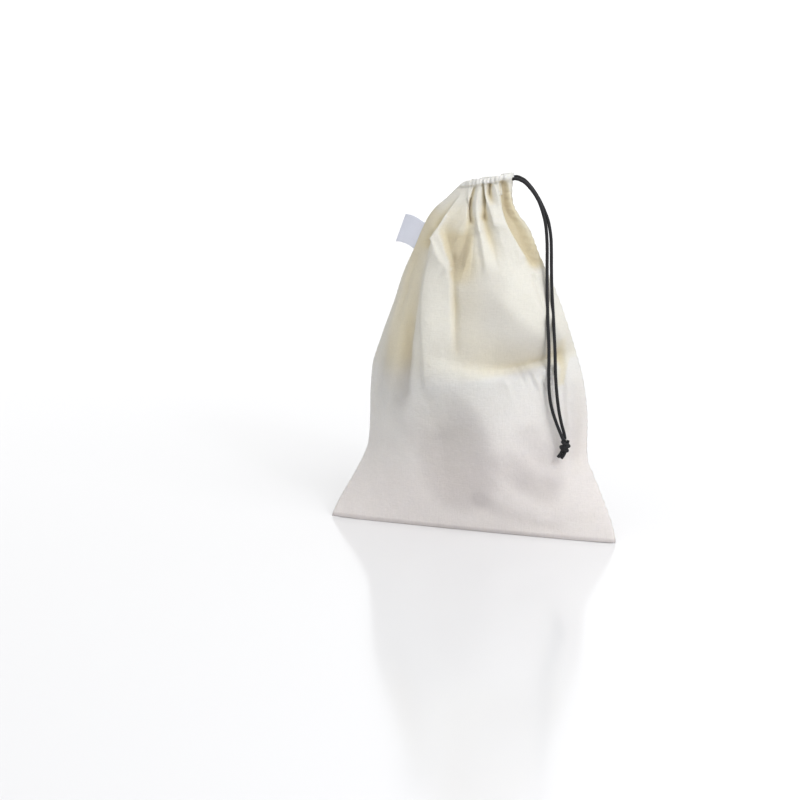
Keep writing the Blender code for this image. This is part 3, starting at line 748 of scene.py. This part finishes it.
def outerSkin(side):
    # the cloth's outer face, from the bottom seam up over the crest and down the hem inside
    rng = np.random.default_rng(creases["seed"] + (side > 0))
    rows = panelRows(side)
    height, share, over = np.hsplit(rows, 3)
    t = np.linspace(-1.0, 1.0, cloth["columns"] + 1)
    across = (np.sign(t) * (1.0 - (1.0 - np.abs(t)) ** 1.2))[None, :]
    level = {name: levelAt(name, height) for name in Level._fields[1:]}
    depth = level["front"] if side < 0 else level["back"]
    half = (level["right"] - level["left"]) / 2.0
    middle = (level["right"] + level["left"]) / 2.0
    square = level["square"]
    edgeLean = np.arctan(square * depth / half)
    half = half - level["wall"] * np.sin(edgeLean)
    lean = np.arctan(square * depth / half * np.abs(across) ** (square - 1.0))
    outX, outY = np.sign(across) * np.sin(lean), np.cos(lean)
    stand = level["wall"] * (1.0 - over) + cloth["thickness"] * over
    x = middle + half * across + outX * stand
    y = depth * (1.0 - np.abs(across) ** square) + outY * stand
    tilt = cloth["tunnelTilt"] * np.maximum(0.0, (height - cloth["tiltStart"]) / cloth["tiltSpan"])
    z = height + tilt * across
    fade = softRamp((1.0 - np.abs(across)) / cloth["edgeFade"])
    push, shift = np.zeros(x.shape), np.zeros(x.shape)
    for fold in (frontFolds if side < 0 else backFolds):
        part = foldProfile(x, z, fold)
        push += part
        shift += part * fold.lean
    notch = tunnelGathers(x, z) if side < 0 else tunnelGathers(3.0 - x, z)
    rollOut, rollTop = tunnelRoll(x, height)
    push += notch + rollOut
    # painted warm shade, more of it in deeper troughs
    warmShade = np.clip(-push / cloth["warmShadeDepth"], 0.0, 0.3)
    for tint in (frontTints if side < 0 else backTints):
        warmShade = warmShade + foldProfile(x, z, tint)
    reach = creases["clear"]
    for fold in smallCreases(rng):
        low, high = sorted((fold.x1, fold.x3))
        near = ((x > low - reach) & (x < high + reach)
                & (z > fold.z3 - reach) & (z < fold.z1 + reach))
        if near.any():
            push[near] += foldProfile(x[near], z[near], fold)
    for size, swell in creases["swells"]:
        push += swell * softNoise(x, z, size, rng)
    # the stitches of the side seams draw the cloth in at uneven steps
    fromEdge = (1.0 - np.abs(across)) * half
    seamRng = np.random.default_rng(creases["seed"] + 5)
    drift = softNoise(height, np.sign(across) * 90.0, creases["puckerDrift"], seamRng)
    beat = height / creases["puckerStep"] + 0.6 * drift
    pucker = (creases["puckerDepth"] * np.cos(2.0 * math.pi * beat)
              * np.exp(-(fromEdge / creases["puckerReach"]) ** 2))
    standing = ramp((height - 6.0) / 10.0) * (share >= 1.0)
    push = push * fade * ramp(height / 8.0) * (share >= 1.0)
    shift = shift * fade * (share >= 1.0)
    y = y + outY * push
    x = x + outX * (push + pucker * standing * 0.5) + shift * outY
    y = y - shift * outX
    # the edge rounds over into the seam
    rim = level["wall"] * np.cos(edgeLean)
    roundWidth = np.maximum(cloth["edgeRound"], rim)
    into = ramp(1.0 - fromEdge / roundWidth)
    y = y - (rim - 0.05) * (1.0 - np.sqrt(np.maximum(0.0, 1.0 - into ** 2))) * (1.0 - over)
    y = np.maximum(y, 0.02)
    z = z + (cloth["notchDrop"] * notch + rollTop) * ramp((height - 334.0) / 3.0) * (1.0 - over)
    ears = cloth["earFront"] if side < 0 else cloth["earBack"]
    z = z + ears * ramp(share / 0.9) * np.abs(across) ** 12 * ramp(1.0 - height / 5.0)
    seam = -cloth["seamForward"] * np.maximum(0.0, 1.0 - (z - tilt * across) / cloth["seamFade"]) ** 2
    y = side * (cloth["seamGap"] / 6.0 + share * y) + seam + pucker * standing
    edges, heights, fades = zip(*shelfLine)
    shelf, soften = np.interp(x, edges, heights), np.interp(x, edges, fades)
    free = softRamp((z - shelf) / soften)
    # painted highlight on the tunnel's roll, which also keeps the painted warm shade off it
    hemHighlight = ramp((height - cloth["rollFoot"] + 0.6) / 1.2) + 0.0 * x
    warmShade = np.clip(warmShade, 0.0, 2.0) * (0.25 + 0.75 * free) * (1.0 - 0.8 * hemHighlight)
    # painted shade: the darker patches, and a painted contact shadow along the bottom 5 mm of the front
    paintedShade = 0.0 * x
    if side < 0:
        paintedShade = sum(foldProfile(x, z, tint) for tint in paintedShadePatches) + ramp((5.0 - z) / 3.0)
    # painted light: cooler and lilac towards the bottom, where light from the floor falls
    bounceLilac = ramp((cloth["bounceLilacTop"] - z + 0.25 * x) / cloth["bounceLilacSpan"])
    # painted shade and light for the material: deep is darker painted shade where the warm painted
    # shade passes 1, filledLight is cooler painted light where the cloth lies on what is inside
    tones = {"warmShade": np.minimum(warmShade, 1.0), "deep": ramp(warmShade - 1.0), "hemHighlight": hemHighlight,
             "filledLight": 1.0 - free, "bounceLilac": bounceLilac, "paintedShade": ramp(paintedShade)}
    return np.stack([x, y, z], axis=2), tones


def clothPlaces(skin):
    # each point's place on the flat cloth, measured along the rows and columns
    steps = norm(np.diff(skin, axis=1), axis=2)
    u = np.concatenate([np.zeros((len(skin), 1)), np.cumsum(steps, axis=1)], axis=1)
    u -= u[:, skin.shape[1] // 2][:, None]
    climbs = norm(np.diff(skin, axis=0), axis=2).mean(axis=1)
    v = np.concatenate([[0.0], np.cumsum(climbs)])[:, None] + 0.0 * u
    return np.stack([u, v], axis=2)


def skinNormals(skin, side):
    across, upward = np.gradient(skin, axis=1), np.gradient(skin, axis=0)
    normal = np.cross(across, upward)
    size = norm(normal, axis=2, keepdims=True)
    normal = np.where(size > 1e-9, normal / np.maximum(size, 1e-9), 0.0)
    if side > 0:
        normal = -normal
    for _ in range(2):
        wide = np.pad(normal, ((1, 1), (1, 1), (0, 0)), mode="edge")
        normal = (wide[:-2, 1:-1] + wide[2:, 1:-1] + wide[1:-1, :-2] + wide[1:-1, 2:]
                  + 2.0 * normal)
        normal /= np.maximum(norm(normal, axis=2, keepdims=True), 1e-9)
    return normal


def addPanel(name, side, node, material):
    outer, tones = outerSkin(side)
    inner = outer - skinNormals(outer, side) * cloth["thickness"]
    for edge, inward in ((0, 1), (-1, -1)):
        inner[:, edge, 1] = outer[:, edge, 1]
        inner[:, edge, 0] = outer[:, edge, 0] + inward * cloth["thickness"]
    points, faces = closedSheet(outer, inner)
    if side > 0:
        faces = [face[::-1] for face in faces]
    uv = clothPlaces(outer).reshape(-1, 2)
    piece = meshPiece(name, points, faces, np.concatenate([uv, uv]),
                      {key: np.tile(tone.ravel(), 2) for key, tone in tones.items()})
    piece.data.materials.append(material)
    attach(piece, "root")
    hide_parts(node)


label = {
    "reach": 22.4,
    "bottom": 268.6,
    "top": 295.4,
    "tape": 0.26,           # thickness of one layer
    "gap": 0.22,            # between the layer's middle and the label's middle, at the seam
    "swell": 0.30,          # how far the layers stand apart between seam and fold
    "bend": 0.34,           # of the fold
    "curl": 4.5,            # backwards at the fold
    "droop": 2.2,           # of the fold
    "arch": 1.6,            # upwards between seam and fold
    "cells": 40,
}


def addLabel(material):
    heights = np.linspace(label["bottom"], label["top"], label["cells"] + 1)
    lefts, above = levelAt("left", heights), levelAt("left", heights + 1.0)
    tilt = cloth["tunnelTilt"] * np.maximum(0.0, heights - cloth["tiltStart"]) / cloth["tiltSpan"]
    # the folded tape seen from above: out along the front layer, round the fold and back
    reach, gap = label["reach"], label["gap"]
    layer = [(reach * t, gap + label["swell"] * math.sin(math.pi * t)) for t in np.linspace(0, 1, 25)]
    fold = [(reach + label["bend"] * math.sin(a), gap * math.cos(a))
            for a in np.linspace(0, math.pi, 9)[1:-1]]
    path = np.array(layer + fold + [(r, -g) for r, g in layer[::-1]])
    along = directions(path)
    normal = np.stack([-along[:, 1], along[:, 0]], axis=1)
    skins = []
    for offset in (0.5, -0.5):
        section = path + normal * label["tape"] * offset
        rows = []
        for height, left, nextLeft, drop in zip(heights, lefts, above, tilt):
            away = np.cross([0.0, 1.0, 0.0], [left - nextLeft, 0.0, -1.0])
            away /= norm(away)
            share = (height - label["bottom"]) / (label["top"] - label["bottom"])
            far = section[:, 0] / reach
            out = section[:, :1] * (0.98 + 0.09 * share) - 1.0   # a little further at the top
            places = np.array([left, 0.0, height]) + away * out
            places[:, 2] += label["arch"] * np.sin(math.pi * far) - drop - label["droop"] * far ** 2
            places[:, 1] += label["curl"] * far ** 2 * (0.75 + 0.5 * share)
            places[:, 1] += 0.5 * np.sin(3.0 * share) * far - section[:, 1]
            rows.append(places)
        skins.append(np.array(rows))
    points, faces = closedSheet(*skins, turned=True)
    uv = np.stack(np.meshgrid(placesAlong(path), heights), axis=2).reshape(-1, 2)
    piece = meshPiece("sideLabel", points, faces, np.concatenate([uv, uv]))
    piece.data.materials.append(material)
    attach(piece, "root")
    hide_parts("side_label")


# node helpers and materials

def storedTone(tree, name):
    return addNode(tree, "ShaderNodeAttribute", attribute_name=name).outputs["Fac"]


def clothUv(tree):
    return addNode(tree, "ShaderNodeUVMap", uv_map="clothUv").outputs["UV"]


def maths(tree, operation, first, second=None):
    made = addNode(tree, "ShaderNodeMath", operation=operation)
    for slot, value in enumerate((first, second)):
        if value is None:
            continue
        if isinstance(value, (int, float)):
            made.inputs[slot].default_value = value
        else:
            tree.links.new(value, made.inputs[slot])
    return made.outputs[0]


def stretchedNoise(tree, places, across, upward, detail=2.0, roughness=0.5):
    mapping = addNode(tree, "ShaderNodeMapping")
    setInputs(mapping, {"Scale": (across, upward, 1.0)})
    tree.links.new(places, mapping.inputs["Vector"])
    noise = addNode(tree, "ShaderNodeTexNoise")
    setInputs(noise, {"Scale": 1.0, "Detail": detail, "Roughness": roughness})
    tree.links.new(mapping.outputs["Vector"], noise.inputs["Vector"])
    return noise.outputs["Fac"]


def blendColours(tree, share, first, second, kind="MIX"):
    made = addNode(tree, "ShaderNodeMix", data_type="RGBA", blend_type=kind)
    for slot, value in ((0, share), (6, first), (7, second)):
        if isinstance(value, (int, float)):
            made.inputs[slot].default_value = value
        elif isinstance(value, tuple):
            made.inputs[slot].default_value = (*value, 1.0)
        else:
            tree.links.new(value, made.inputs[slot])
    return made.outputs[2]


def addBump(tree, height, distance, strength, before=None):
    bump = addNode(tree, "ShaderNodeBump")
    setInputs(bump, {"Distance": distance, "Strength": strength})
    tree.links.new(height, bump.inputs["Height"])
    if before is not None:
        tree.links.new(before, bump.inputs["Normal"])
    return bump.outputs["Normal"]


cotton = {
    "free": (0.735, 0.712, 0.64),     # where the cloth hangs free
    "warmShade": (0.685, 0.61, 0.435),     # painted shade in the troughs and on the shaded flank
    "deep": (0.48, 0.40, 0.27),       # painted shade, darker, down in the narrow creases
    "filledLight": (0.735, 0.722, 0.688),  # painted light: cooler where it lies on what is inside and no light comes through
    "bounceLilac": (0.755, 0.708, 0.682),   # painted light: lilac lower down, where light from the floor falls
    "paintedShade": (0.765, 0.755, 0.765),     # painted shade multiplies the colour by this
    "hemHighlight": (0.80, 0.785, 0.745),      # painted highlight: the tunnel's double cloth lighter, where its roll faces up
    "pitch": 0.52 * mm,               # from thread to thread
    "sway": 6.0,                      # of the threads, in radians of the weave
    "uneven": 0.20,                   # lighter and darker threads and spots
    "finish": {"Roughness": 0.92, "Specular IOR Level": 0.2,
               "Sheen Weight": 0.12, "Sheen Roughness": 0.6,
               "Subsurface Weight": 0.12, "Subsurface Scale": 1.0,
               "Subsurface Radius": (0.0022, 0.0018, 0.0012)},
}
# noises in the cotton: how fine across and up the cloth, detail, roughness
cottonNoises = {
    "sway": (90, 90, 2, 0.5),
    "slubUp": (1500, 55, 2, 0.5),
    "slubAcross": (60, 1400, 2, 0.5),
    "crumple": (210, 210, 3, 0.6),
    "mottle": (45, 45, 4, 0.6),
    "grainUp": (900, 260, 1, 0.5),
    "grainAcross": (240, 900, 1, 0.5),
}
# depth and strength of its bumps
cottonBumps = {"crumple": (1.1 * mm, 0.55), "slubs": (0.4 * mm, 0.5), "weave": (0.12 * mm, 0.6)}


def cottonMaterial():
    material, tree, shader = newMaterial("natural_cotton")
    places = clothUv(tree)
    split = addNode(tree, "ShaderNodeSeparateXYZ")
    tree.links.new(places, split.inputs[0])
    turn = math.pi / cotton["pitch"]
    noise = {name: stretchedNoise(tree, places, *values) for name, values in cottonNoises.items()}
    swayed = maths(tree, "MULTIPLY", noise["sway"], cotton["sway"])
    warp, weft = (maths(tree, "SINE", maths(tree, "ADD", maths(tree, "MULTIPLY", way, turn), swayed))
                  for way in split.outputs[:2])
    slubs = maths(tree, "ADD", noise["slubUp"], noise["slubAcross"])
    normal = addBump(tree, noise["crumple"], *cottonBumps["crumple"])
    normal = addBump(tree, slubs, *cottonBumps["slubs"], normal)
    normal = addBump(tree, maths(tree, "MULTIPLY", warp, weft), *cottonBumps["weave"], normal)
    tree.links.new(normal, shader.inputs["Normal"])

    # painted light and shade over the cloth's colour: cooler where filled and lilac lower down, warm
    # and deep painted shade, painted shade patches, and a painted highlight on the tunnel
    laid = blendColours(tree, storedTone(tree, "bounceLilac"), cotton["filledLight"], cotton["bounceLilac"])
    base = blendColours(tree, storedTone(tree, "filledLight"), cotton["free"], laid)
    for tone, kind in (("warmShade", "MIX"), ("deep", "MIX"), ("paintedShade", "MULTIPLY"), ("hemHighlight", "MIX")):
        base = blendColours(tree, storedTone(tree, tone), base, cotton[tone], kind)
    # the five noises of threads and spots, averaged
    grain = maths(tree, "ADD", maths(tree, "ADD", noise["grainUp"], noise["grainAcross"]), slubs)
    spots = maths(tree, "MULTIPLY", maths(tree, "ADD", noise["mottle"], grain), 0.2)
    shade = addNode(tree, "ShaderNodeMapRange")
    setInputs(shade, {"To Min": 1.0 - cotton["uneven"], "To Max": 1.0 + cotton["uneven"]})
    tree.links.new(spots, shade.inputs["Value"])
    grey = addNode(tree, "ShaderNodeCombineColor")
    for slot in range(3):
        tree.links.new(shade.outputs[0], grey.inputs[slot])
    base = blendColours(tree, 1.0, base, grey.outputs[0], "MULTIPLY")
    tree.links.new(base, shader.inputs["Base Color"])
    setInputs(shader, cotton["finish"])
    return material


blackCord = {
    "strand": (0.010, 0.010, 0.011),
    # painted shade: the darker colour in the braid's grooves
    "groove": (0.003, 0.003, 0.0035),
    "fibres": (0.016, 0.016, 0.018),
    "fuzz": (5200, 900),          # how fine the fibres are, across and along
    "finish": {"Roughness": 0.62, "Specular IOR Level": 0.22,
               "Sheen Weight": 0.04, "Sheen Roughness": 0.5},
}


def cordMaterial():
    material, tree, shader = newMaterial("black_cord")
    fibres = stretchedNoise(tree, clothUv(tree), *blackCord["fuzz"])
    # painted shade in the braid's grooves
    base = blendColours(tree, storedTone(tree, "groove"), blackCord["strand"], blackCord["groove"])
    base = blendColours(tree, fibres, base, blackCord["fibres"])
    tree.links.new(base, shader.inputs["Base Color"])
    tree.links.new(addBump(tree, fibres, 0.12 * mm, 0.6), shader.inputs["Normal"])
    setInputs(shader, blackCord["finish"])
    return material


labelTape = {
    "white": (0.70, 0.72, 0.80),
    "shaded": (0.64, 0.66, 0.745),    # between the threads
    "ribs": 0.42 * mm,
    "fibres": (2600, 300),        # how fine, across and along
    "finish": {"Roughness": 0.5, "Sheen Weight": 0.1},
}


def labelMaterial():
    material, tree, shader = newMaterial("label_tape")
    places = clothUv(tree)
    split = addNode(tree, "ShaderNodeSeparateXYZ")
    tree.links.new(places, split.inputs[0])
    turn = 2 * math.pi / labelTape["ribs"]
    ribs = maths(tree, "SINE", maths(tree, "MULTIPLY", split.outputs[1], turn))
    threads = stretchedNoise(tree, places, *labelTape["fibres"])
    normal = addBump(tree, ribs, 0.05 * mm, 0.5)
    normal = addBump(tree, threads, 0.1 * mm, 0.4, normal)
    tree.links.new(normal, shader.inputs["Normal"])
    base = blendColours(tree, threads, labelTape["white"], labelTape["shaded"])
    tree.links.new(base, shader.inputs["Base Color"])
    setInputs(shader, labelTape["finish"])
    return material


# everything put together
cordFinish = cordMaterial()
knotPiece = addKnot(cordFinish)
for strandName in strandRoutes:
    strand, line, length = addStrand(strandName, cordFinish)
print("cord strands and knot made")

cottonFinish = cottonMaterial()
addPanel("frontPanel", -1, "front_panel", cottonFinish)
addPanel("backPanel", 1, "back_panel", cottonFinish)
print("panels made")

addLabel(labelMaterial())
print("label made")
